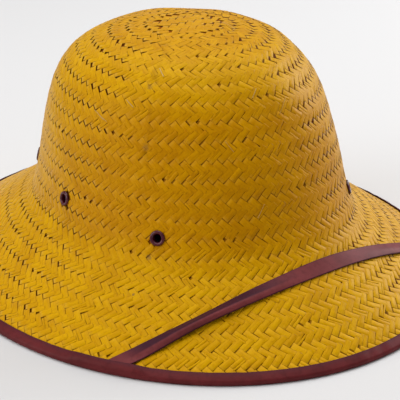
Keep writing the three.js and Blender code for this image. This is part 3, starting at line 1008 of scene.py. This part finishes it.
def leaf_material(name, fresh, worn, rubbed_and_highlight_colour, gap_colour):
    """Palm leaf cut in strips and plaited: fibres run along each strip, no two strips are quite one colour.

    The paint is satin and thin: it darkens towards the strips' edges and ends, partly dark joints and partly
    painted shade between the strips.
    """
    surface = {"Roughness": 0.42, "Specular IOR Level": 0.12, "Specular Tint": WARM_SHEEN}
    material, tree, shader = new_material(name, **surface)
    strip = add_node(tree, "ShaderNodeUVMap", uv_map="strip").outputs[0]
    parts = add_node(tree, "ShaderNodeSeparateXYZ", {0: strip})
    along, across = parts.outputs[0], parts.outputs[1]
    shade = add_node(tree, "ShaderNodeAttribute", attribute_name="shade").outputs["Fac"]
    object_place = add_node(tree, "ShaderNodeTexCoord").outputs["Object"]
    # Fibres are about 0.5 mm apart and run for 10 mm or more, drawn 1 mm apart so that they show.
    fibre_axes = {0: maths(tree, "MULTIPLY", along, 0.12), 1: maths(tree, "MULTIPLY", across, 2.4)}
    fibre_axes[2] = maths(tree, "MULTIPLY", shade, 60.0)
    fibres = noise(tree, add_node(tree, "ShaderNodeCombineXYZ", fibre_axes).outputs[0], 1.0, detail=3.0)
    # Paint lies in blotches 20 mm across, and finer ones 3 mm across.
    blotches = noise(tree, object_place, 45.0, detail=3.0, roughness=0.6)
    mottle = noise(tree, object_place, 330.0, detail=2.0, roughness=0.6)
    base = mix(tree, ramp(tree, shade, 0.0, 1.0, 0.0, 0.35), fresh, worn)
    base = mix(tree, ramp(tree, fibres, 0.45, 0.75, 0.0, 0.6), base, worn)
    base = mix(tree, ramp(tree, blotches, 0.45, 0.75, 0.0, 0.5), base, worn)
    base = mix(tree, ramp(tree, mottle, 0.5, 0.8, 0.0, 0.6), base, worn)
    base = stained(tree, object_place, darkened(tree, object_place, base))
    notch = add_node(tree, "ShaderNodeAttribute", attribute_name="notch").outputs["Fac"]
    gape = add_node(tree, "ShaderNodeAttribute", attribute_name="gape").outputs["Fac"]
    shows = add_node(tree, "ShaderNodeAttribute", attribute_name="joints").outputs["Fac"]
    # Where an end gapes, the raised leaf beside it is painted paler: partly paint worn thin, partly painted
    # highlight on the raised crest.
    rubbed = maths(tree, "MULTIPLY", ramp(tree, notch, 0.3, 0.7), maths(tree, "MULTIPLY", gape, 0.3))
    base = mix(tree, rubbed, base, rubbed_and_highlight_colour)
    # The leaf is darkest where an end gapes: painted shade deep in the notch, over leaf that is dark there
    # too. The other joints show as far as paint hasn't filled them, as dark joints with some painted shade.
    darkness = maths(tree, "MULTIPLY_ADD", gape, 0.5, 0.6)
    open_end = maths(tree, "MULTIPLY", ramp(tree, notch, 0.8, 0.88), darkness)
    edge = ramp(tree, maths(tree, "ABSOLUTE", across), 0.88, 0.95)
    edge = maths(tree, "MAXIMUM", edge, ramp(tree, notch, -0.85, -0.92))
    joints = maths(tree, "MAXIMUM", open_end, maths(tree, "MULTIPLY", edge, shows))
    # Beside a gaping end the strip's long edges have lifted too, and a thin painted shadow line runs back
    # along them.
    lifted = maths(tree, "MULTIPLY", ramp(tree, notch, -0.3, 0.4), ramp(tree, gape, 0.3, 0.9))
    along_edge = ramp(tree, maths(tree, "ABSOLUTE", across), 0.78, 0.9)
    joints = maths(tree, "MAXIMUM", joints, maths(tree, "MULTIPLY", along_edge, lifted))
    base = mix(tree, joints, base, gap_colour)
    tree.links.new(base, shader.inputs["Base Color"])
    tree.links.new(bump(tree, fibres, 0.00012), shader.inputs["Normal"])
    return material


def vinyl_material(name, vinyl, roughness):
    """Plasticised vinyl, calendered on cloth: satin, with a fine leather-like grain and faint soiling."""
    material, tree, shader = new_material(name, **{"Roughness": roughness, "Specular IOR Level": 0.1})
    object_place = add_node(tree, "ShaderNodeTexCoord").outputs["Object"]
    # The pressed grain is about 0.4 mm across, drawn at 0.7 mm so that it shows.
    grain = noise(tree, object_place, 1400.0, detail=1.0)
    soiling = noise(tree, object_place, 60.0, detail=3.0)
    rubbed = noise(tree, object_place, 350.0, detail=3.0)
    dark = tuple(0.4 * channel for channel in vinyl[:3]) + (1.0,)
    base = mix(tree, ramp(tree, soiling, 0.35, 0.7, 0.0, 0.4), vinyl, dark)
    base = mix(tree, ramp(tree, rubbed, 0.45, 0.7, 0.0, 0.3), base, dark)
    # Painted shade: the colour darkens along the rims and in the lengthwise fold, where shade falls.
    painted_shade_amount = add_node(tree, "ShaderNodeAttribute", attribute_name="dark").outputs["Fac"]
    base = mix(tree, maths(tree, "MULTIPLY", painted_shade_amount, 0.85), base, RIM_AND_FOLD_SHADE)
    tree.links.new(base, shader.inputs["Base Color"])
    tree.links.new(bump(tree, grain, 0.00004), shader.inputs["Normal"])
    return material


def enamel_material(name, enamel):
    """Baked enamel over a stamped brass eyelet: glossy where it is whole, duller where fingers rubbed it."""
    material, tree, shader = new_material(name, **{"Roughness": 0.12, "Specular IOR Level": 0.45})
    object_place = add_node(tree, "ShaderNodeTexCoord").outputs["Object"]
    rub = noise(tree, object_place, 700.0, detail=2.0)
    dark = tuple(0.5 * channel for channel in enamel[:3]) + (1.0,)
    base = mix(tree, ramp(tree, rub, 0.4, 0.65, 0.0, 0.6), enamel, dark)
    tree.links.new(base, shader.inputs["Base Color"])
    tree.links.new(bump(tree, rub, 0.00003), shader.inputs["Normal"])
    return material


def core_material(name, filled, shadow):
    """The strips' lower layer: matt leaf, painted where the paint went through and dark in the notches,
    partly old leaf and partly painted shade.
    """
    material, tree, shader = new_material(name, **{"Roughness": 0.9, "Specular IOR Level": 0.1})
    object_place = add_node(tree, "ShaderNodeTexCoord").outputs["Object"]
    dust = noise(tree, object_place, 200.0, detail=2.0)
    notch = add_node(tree, "ShaderNodeAttribute", attribute_name="notch").outputs["Fac"]
    darkness = ramp(tree, maths(tree, "MULTIPLY_ADD", dust, 0.4, notch), 0.5, 1.1, 0.1, 0.6)
    tree.links.new(mix(tree, darkness, filled, shadow), shader.inputs["Base Color"])
    return material


# Operators


def settings(context):
    return context.scene.helmet_sizes, context.scene.helmet_colours


class HELMET_OT_plait_shell(bpy.types.Operator):
    """Plaits the crown and the brim, outside and inside, round a thin core"""

    bl_idname = "helmet.plait_shell"
    bl_label = "Plait crown and brim"

    def execute(self, context):
        sizes, colours = settings(context)
        shell = Shell()
        seats = vent_seats(shell)
        width = sizes.strip_width / MM
        cut_sizes = {"dip": sizes.strip_dip / MM, "thickness": sizes.strip_thickness / MM}
        plait = {"pitch": width / math.sin(sizes.strip_lean), "spacing": width / math.cos(sizes.strip_lean)}
        shares, spacing = ring_shares(shell, plait, sizes.first_ring / MM)
        plait["spacing"] = spacing
        turns_of = ring_turns(shell, shares, plait["pitch"])
        paint, thin_paint = colours.straw_paint, colours.straw_paint_dark
        straw, worn_straw, shadow = colours.bare_straw, colours.bare_straw_dark, colours.straw_shadow
        painted = leaf_material("palm_leaf_painted", paint, thin_paint, colours.rubbed_paint_and_highlight, shadow)
        bare = leaf_material("palm_leaf_unpainted", straw, worn_straw, straw, shadow)
        torn = leaf_material("palm_leaf_torn", straw, paint, straw, shadow)
        core = core_material("palm_leaf_lower_layer", colours.under_straw, colours.straw_shadow)
        random = np.random.default_rng(SEED)
        show_piece("straw_core", pierced(core_mesh(shell, shares), seats), core, ["woven_shell"])
        crown_rings = round(len(shares) * CROWN_SHARE)
        for face, inside, leaf in (("outside", False, painted), ("inside", True, bare)):
            rows = [ring_strips(shell, shares, turns_of, ring, plait, inside) for ring in range(len(shares))]
            reach = sizes.first_ring / MM - MIDDLE_OVERLAP * spacing
            middle = centre_strips(shell, plait, reach, inside)
            parts = {
                "crown": cut_at_vents(shell, joined(rows[:crown_rings]), seats),
                "brim": cut_at_vents(shell, joined(rows[crown_rings:]), seats),
            }
            for part, strips in parts.items():
                name = f"straw_{part}_{face}"
                strips = with_splits(strips, random, sizes.split_share)
                mesh = strips_mesh(name, shell, shares, strips, random, cut_sizes, inside)
                show_piece(name, mesh, leaf, ["woven_shell"])
            if not inside:
                slivers = loose_slivers(parts["crown"], random, sizes.slivers)
                mesh = strips_mesh("straw_slivers", shell, shares, slivers, random, cut_sizes, inside)
                show_piece("straw_slivers", mesh, torn, ["woven_shell"])
            name = f"straw_middle_{face}"
            mesh = strips_mesh(name, shell, shares, middle, random, cut_sizes, inside)
            show_piece(name, mesh, leaf, ["woven_shell"])
        return {"FINISHED"}


def brim_face(shell, angle, radius):
    """The straw's top face at an angle and a radius, by halving the share between the crown and the edge."""
    low, high = np.full_like(radius, 0.5), np.ones_like(radius)
    for _ in range(HALVINGS):
        middle = (low + high) / 2
        short = radius_of(sample(shell.places, angle, middle)) < radius
        low, high = np.where(short, middle, low), np.where(short, high, middle)
    past_edge = radius - radius_of(sample(shell.places, angle, np.ones_like(radius)))
    _, _, out, down = brim_slope(angle)
    on_shell = sample(shell.places, angle, low)
    beyond = place(angle, np.maximum(past_edge, 0), np.maximum(past_edge, 0) * -down / out)
    beyond[..., 1] += CROWN_FORWARD
    return on_shell + beyond


def strap_inner(shell, turn):
    """The strap's inner edge on the brim: the crown's foot plus a spread that grows as the turn squared."""
    angle = turn - STRAP_TURN
    return brim_face(shell, angle, crown_foot(angle) + STRAP_FROM_CROWN + STRAP_SPREAD * turn**2)


def face_outward(points):
    """The way out of the brim's slope at points on it."""
    angle = angle_of(points)
    _, _, out, down = brim_slope(angle)
    return np.stack([-down * np.sin(angle), -down * np.cos(angle), out], axis=-1)


def strap_across(shell, turn, distance):
    """A place across the strap from its inner edge, square to it and taken down onto the brim."""
    inner = strap_inner(shell, turn)
    along = unit(strap_inner(shell, turn + SMALL_STEP) - strap_inner(shell, turn - SMALL_STEP))
    across = inner + np.cross(face_outward(inner), along) * np.asarray(distance)[..., None]
    return brim_face(shell, angle_of(across), radius_of(across))


def strap_reach(shell, side, distance):
    """How far round an edge of the strap runs before it has gone under the binding."""
    low, high = STRAP_SHORTEST, STRAP_LONGEST
    for _ in range(HALVINGS):
        middle = (low + high) / 2
        point = strap_across(shell, np.array([side * middle]), np.array([distance]))
        outline, _, out, _ = brim_slope(angle_of(point))
        past = (radius_of(point) - outline) / out
        low, high = (middle, high) if past[0] < STRAP_TUCK else (low, middle)
    return low


def strap_reaches(shell):
    """The reach of the strap's inner and outer edge on each side."""
    return {side: [strap_reach(shell, side, distance) for distance in (0.0, STRAP_WIDTH)] for side in (-1, 1)}


def strip_raise(angle, reaches):
    """How far the binding is raised: in full over each tucked end of the strap, easing off beside it."""
    turn = np.mod(angle + STRAP_TURN + math.pi, ROUND) - math.pi
    share = np.zeros_like(turn)
    for side, reach in reaches.items():
        first, last = min(reach) - TUCK_RAMP, max(reach) + TUCK_RAMP
        rising = smoothstep(side * turn, first - TUCK_RAMP, first)
        share = share + rising - smoothstep(side * turn, last, last + TUCK_RAMP)
    return np.clip(share, 0, 1) * (STRAP_THICK + GAP + TUCK_PLAY)


def arc(centre, radii, start, end, count):
    """Points on an ellipse's arc, as past and off, from one angle in degrees to another."""
    turn = np.radians(np.linspace(start, end, count))
    return np.stack([centre[0] + radii[0] * np.cos(turn), centre[1] + radii[1] * np.sin(turn)], axis=-1)


def binding_section():
    """The folded strip's cut end as past, off and how much of the raise it takes, round and back.

    Two rounded flap ends are joined by the outer face, a half circle round the straw's edge, and by the
    inner face, which follows the straw.
    """
    half = STRIP_THICK / 2
    upper = arc((half - FLAP_ABOVE, GAP + half), (half, half), 270, 90, 5)
    fold = arc((FOLD_AT, -WALL / 2), (FOLD_RADIUS, FOLD_RADIUS), 90, -90, 15)
    lower = arc((half - FLAP_BELOW, -WALL - GAP - half), (half, half), 270, 90, 5)
    top = np.array([[STRAP_TUCK, GAP + STRIP_THICK]])
    inner = np.array([[FOLD_AT, -WALL - GAP], [FOLD_AT, GAP], [STRAP_TUCK + GAP, GAP]])
    outline = np.concatenate([upper, top, fold, lower, inner])
    above = outline[:, 1] > GAP / 2
    raised = np.where(above, np.clip((FOLD_AT + FOLD_RADIUS * 0.4 - outline[:, 0]) / 1.5, 0, 1), 0)
    return outline, raised


class HELMET_OT_bind_brim(bpy.types.Operator):
    """Folds the vinyl binding round the brim's edge, with its small puckers"""

    bl_idname = "helmet.bind_brim"
    bl_label = "Bind brim"

    def execute(self, context):
        sizes, colours = settings(context)
        shell = Shell()
        reaches = strap_reaches(shell)
        outline, raised = binding_section()
        angle = np.linspace(0, ROUND, BINDING_STATIONS, endpoint=False)
        random = np.random.default_rng(SEED + 1)
        waves = random.integers(*PUCKERS_ROUND, PUCKER_WAVES)
        phases = random.uniform(0, ROUND, PUCKER_WAVES)
        pucker = np.sin(waves[:, None] * angle[None, :] + phases[:, None]).sum(axis=0) / 3
        rise = strip_raise(angle, reaches)
        off = outline[None, :, 1] + raised[None, :] * rise[:, None]
        past, level = outline[:, 0], outline[:, 1]
        upper_face = ((level > GAP + FACE_MARGIN) | (past > FOLD_AT + FOLD_MARGIN)) & (level > 0)
        off = off + (pucker * sizes.binding_pucker / MM)[:, None] * upper_face[None, :]
        points = brim_place(angle[:, None] + 0 * off, outline[None, :, 0] + 0 * off, off)
        points[..., 2] = np.maximum(points[..., 2], 0)
        quads = grid_quads(len(angle), len(outline), close_rows=True, close_columns=True)
        mesh = make_mesh("vinyl_binding", points.reshape(-1, 3), [quads])
        # The binding's inner rim, by the straw, is painted darker: painted shade.
        inner_rim_shade = 1 - smoothstep(outline[:, 0], -FLAP_ABOVE, BINDING_RIM - FLAP_ABOVE)
        add_point_values(mesh, "dark", inner_rim_shade[None, :] + 0 * off)
        vinyl = vinyl_material("vinyl_calendered_binding", colours.vinyl, 0.45)
        show_piece("vinyl_binding", mesh, vinyl, ["brim_binding"])
        return {"FINISHED"}


def strap_section():
    """The strap's cut end as across (0 to 1) and up (0 to 1): a flat band with rounded edges."""
    edge = STRAP_THICK / 2 / STRAP_WIDTH
    left = arc((edge, 0.5), (edge, 0.5), 270, 90, 7)
    right = arc((1 - edge, 0.5), (edge, 0.5), 90, -90, 7)
    flat = np.linspace(*STRAP_FLAT, STRAP_FLAT_POINTS)
    top = np.stack([flat, np.ones(STRAP_FLAT_POINTS)], axis=-1)
    back = np.linspace(*STRAP_FLAT[::-1], STRAP_FLAT_POINTS)
    bottom = np.stack([back, np.zeros(STRAP_FLAT_POINTS)], axis=-1)
    return np.concatenate([left, top, right, bottom])


def strap_crease_shade(share, across):
    """How much painted shade the strap gets along its lengthwise fold: on the wearer's right, along its half
    by the crown.
    """
    along = smoothstep(share, 0.1, 0.45) * (1 - smoothstep(share, 0.86, 0.97))
    return along * (1 - smoothstep(across, 0.5, 0.64))


class HELMET_OT_lay_strap(bpy.types.Operator):
    """Lays the strap over the front of the brim, with its ends under the binding"""

    bl_idname = "helmet.lay_strap"
    bl_label = "Lay strap"

    def execute(self, context):
        sizes, colours = settings(context)
        shell = Shell()
        reaches = strap_reaches(shell)
        share = np.linspace(-1, 1, STRAP_STATIONS)
        inner_reach = np.where(share < 0, reaches[-1][0], reaches[1][0])
        outer_reach = np.where(share < 0, reaches[-1][1], reaches[1][1])
        most = np.where(share < 0, STRAP_LIFT_LEFT, STRAP_LIFT_RIGHT)
        swell = np.sin(math.pi * np.minimum(np.abs(share) / STRAP_FLAT_FROM, 1) ** 2)
        lift = STRAP_TILT_SHARE * most * swell
        ridge = STRAP_RIDGE_SHARE * most * swell
        inner = strap_inner(shell, share * inner_reach)
        chord = np.sqrt(STRAP_WIDTH**2 - lift**2 - (2 * ridge) ** 2)
        outer = strap_across(shell, share * outer_reach, chord)
        long_wave, short_wave = np.sin(STRAP_WAVES[0] * share + 1), np.sin(STRAP_WAVES[1] * share)
        wave = sizes.strap_wave / MM * (long_wave + short_wave) / 2 * swell
        section = strap_section()
        across, up = section[None, :, :1], section[None, :, 1:]
        bottom = inner + face_outward(inner) * GAP
        far = outer + face_outward(outer) * (GAP + lift + np.abs(wave))[:, None]
        outward = unit(face_outward(inner))[:, None, :]
        raised = up * STRAP_THICK + ridge[:, None, None] * np.sin(math.pi * across**STRAP_RIDGE_ASIDE)
        points = bottom[:, None, :] * (1 - across) + far[:, None, :] * across + outward * raised
        quads = grid_quads(len(share), len(section), close_columns=True)
        first = np.arange(len(section))[None, ::-1]
        last = np.arange(len(section))[None, :] + (len(share) - 1) * len(section)
        mesh = make_mesh("vinyl_strap", points.reshape(-1, 3), [quads], [first, last])
        across = across[..., 0] + 0 * share[:, None]
        # The strap's rims, and its fold by the crown, are painted darker: painted shade.
        rim = 1 - smoothstep(np.minimum(across, 1 - across), 0.0, STRAP_RIM)
        add_point_values(mesh, "dark", np.maximum(strap_crease_shade(share[:, None], across), rim))
        vinyl = vinyl_material("vinyl_calendered_strap", colours.strap_vinyl, 0.45)
        show_piece("vinyl_strap", mesh, vinyl, ["chin_strap"])
        return {"FINISHED"}


def eyelet_profile():
    """An eyelet's cut wall as radius and level: rolled rim outside, barrel, and clinched roll inside."""
    rim_middle, rim_half = (EYELET_RIM + EYELET_BORE) / 2, (EYELET_RIM - EYELET_BORE) / 2
    inside = -WALL - EYELET_SEAT - CLINCH_PLAY
    rim = arc((rim_middle, EYELET_SEAT), (rim_half, RIM_RISE), 0, 180, 15)
    roll_middle, roll_half = (EYELET_CLINCH + EYELET_BORE) / 2, (EYELET_CLINCH - EYELET_BORE) / 2
    roll = arc((roll_middle, inside), (roll_half, CLINCH_RISE), 180, 360, 9)
    barrel = np.array([[EYELET_BARREL, inside], [EYELET_BARREL, EYELET_SEAT]])
    return np.concatenate([rim, roll, barrel])


class HELMET_OT_set_eyelets(bpy.types.Operator):
    """Sets an enamelled eyelet in each of the crown's six vents"""

    bl_idname = "helmet.set_eyelets"
    bl_label = "Set eyelets"

    def execute(self, context):
        _, colours = settings(context)
        enamel = enamel_material("brass_enamelled_eyelet", colours.enamel)
        profile = eyelet_profile()
        turn = np.linspace(0, ROUND, EYELET_STATIONS, endpoint=False)
        ring = np.stack([np.cos(turn), np.sin(turn)], axis=-1)[:, None, :] * profile[None, :, :1]
        level = profile[None, :, 1:] + 0 * ring[..., :1]
        local = np.concatenate([ring, level], axis=-1).reshape(-1, 3)
        quads = grid_quads(len(turn), len(profile), close_rows=True, close_columns=True)
        for seat in vent_seats(Shell()):
            name = seat["node"].replace("eyelet", "vent_eyelet")
            mesh = make_mesh(name, local @ seat["axes"] + seat["centre"], [quads])
            show_piece(name, mesh, enamel, [seat["node"]])
        return {"FINISHED"}


# The stage

# The camera's place, from the photograph's perspective: angles in degrees and lengths in millimetres.
CAMERA = {
    "target": (0.0, -3.4, 64.0),
    "azimuth": -33.178,
    "elevation": 23.147,
    "distance": 905.18,
    "right": 6.222,
    "up": -24.62,
    "lens_over_width": 3.4977,
}


SENSOR_WIDTH = 36
FLOOR_REACH = 4000.0
LIT_POINT = (0, 0, 0.08)
# The lights: name, place and size in metres, and power in watts.
LIGHTS = (
    ("overhead", (0.1, 0.25, 1.6), 1.6, 18.5),
    ("left_side", (-1.5, 0.35, 0.8), 1.0, 11),
    ("right_side", (1.5, 0.05, 0.7), 1.0, 15),
)
SKY = "#f4f5f6"
SKY_STRENGTH = 0.36


def camera_place():
    """The camera's matrix: its back points from the target, and it is moved a little right and down."""
    azimuth, elevation = math.radians(CAMERA["azimuth"]), math.radians(CAMERA["elevation"])
    level = math.cos(elevation)
    back = Vector((math.sin(azimuth) * level, -math.cos(azimuth) * level, math.sin(elevation)))
    right = Vector((math.cos(azimuth), math.sin(azimuth), 0))
    up = back.cross(right)
    place_mm = Vector(CAMERA["target"]) + back * CAMERA["distance"]
    place_mm = place_mm + right * CAMERA["right"] + up * CAMERA["up"]
    turned = Matrix((right, up, back)).transposed().to_4x4()
    return Matrix.Translation(place_mm * MM) @ turned


def add_light(name, where, size, power):
    """A soft square light at a place in metres, aimed at the crown's middle."""
    data = bpy.data.lights.new(name, "AREA")
    data.shape = "SQUARE"
    data.size = size
    data.energy = power
    light = bpy.data.objects.new(name, data)
    light.location = where
    light.rotation_euler = (Vector(LIT_POINT) - Vector(where)).to_track_quat("-Z", "Y").to_euler()
    bpy.context.scene.collection.objects.link(light)


class HELMET_OT_set_stage(bpy.types.Operator):
    """Adds the pale floor, the soft lights, the sky and the camera"""

    bl_idname = "helmet.set_stage"
    bl_label = "Set stage"

    def execute(self, context):
        _, colours = settings(context)
        scene = context.scene
        reach = FLOOR_REACH
        corners = np.array([[-reach, -reach, 0], [reach, -reach, 0], [reach, reach, 0], [-reach, reach, 0]])
        mesh = make_mesh("floor", corners, [np.arange(4)[None, :]])
        paper, _, _ = new_material("paper_seamless", **{"Base Color": colours.floor, "Roughness": 0.9})
        mesh.materials.append(paper)
        floor = bpy.data.objects.new("floor", mesh)
        scene.collection.objects.link(floor)
        for name, where, size, power in LIGHTS:
            add_light(name, where, size, power)
        world = bpy.data.worlds.new("studio")
        world.use_nodes = True
        # The photograph's colours are plain ones, so the view leaves them as they are.
        scene.view_settings.view_transform = "Standard"
        background = world.node_tree.nodes["Background"]
        background.inputs["Color"].default_value = colour(SKY)
        background.inputs["Strength"].default_value = SKY_STRENGTH
        scene.world = world
        data = bpy.data.cameras.new("camera")
        data.sensor_fit = "HORIZONTAL"
        data.sensor_width = SENSOR_WIDTH
        data.lens = SENSOR_WIDTH * CAMERA["lens_over_width"]
        camera = bpy.data.objects.new("camera", data)
        camera.matrix_world = camera_place()
        scene.collection.objects.link(camera)
        scene.camera = camera
        return {"FINISHED"}


class HELMET_PT_panel(bpy.types.Panel):
    """Lists the helmet's sizes, colours and steps"""

    bl_idname = "HELMET_PT_panel"
    bl_label = "Helmet"
    bl_space_type = "VIEW_3D"
    bl_region_type = "UI"
    bl_category = "Helmet"

    def draw(self, context):
        sizes, colours = settings(context)
        for group in (sizes, colours):
            for name in group.__annotations__:
                self.layout.prop(group, name)
        for step in STEPS:
            self.layout.operator(step.bl_idname)


STEPS = (
    HELMET_OT_plait_shell,
    HELMET_OT_bind_brim,
    HELMET_OT_lay_strap,
    HELMET_OT_set_eyelets,
    HELMET_OT_set_stage,
)
CLASSES = (HelmetSizes, HelmetColours, *STEPS, HELMET_PT_panel)


def register():
    for item in CLASSES:
        bpy.utils.register_class(item)
    bpy.types.Scene.helmet_sizes = PointerProperty(type=HelmetSizes)
    bpy.types.Scene.helmet_colours = PointerProperty(type=HelmetColours)


def unregister():
    del bpy.types.Scene.helmet_colours
    del bpy.types.Scene.helmet_sizes
    for item in reversed(CLASSES):
        bpy.utils.unregister_class(item)


def main():
    register()
    bpy.ops.helmet.plait_shell()
    bpy.ops.helmet.bind_brim()
    bpy.ops.helmet.lay_strap()
    bpy.ops.helmet.set_eyelets()
    bpy.ops.helmet.set_stage()


if __name__ == "__main__":
    main()
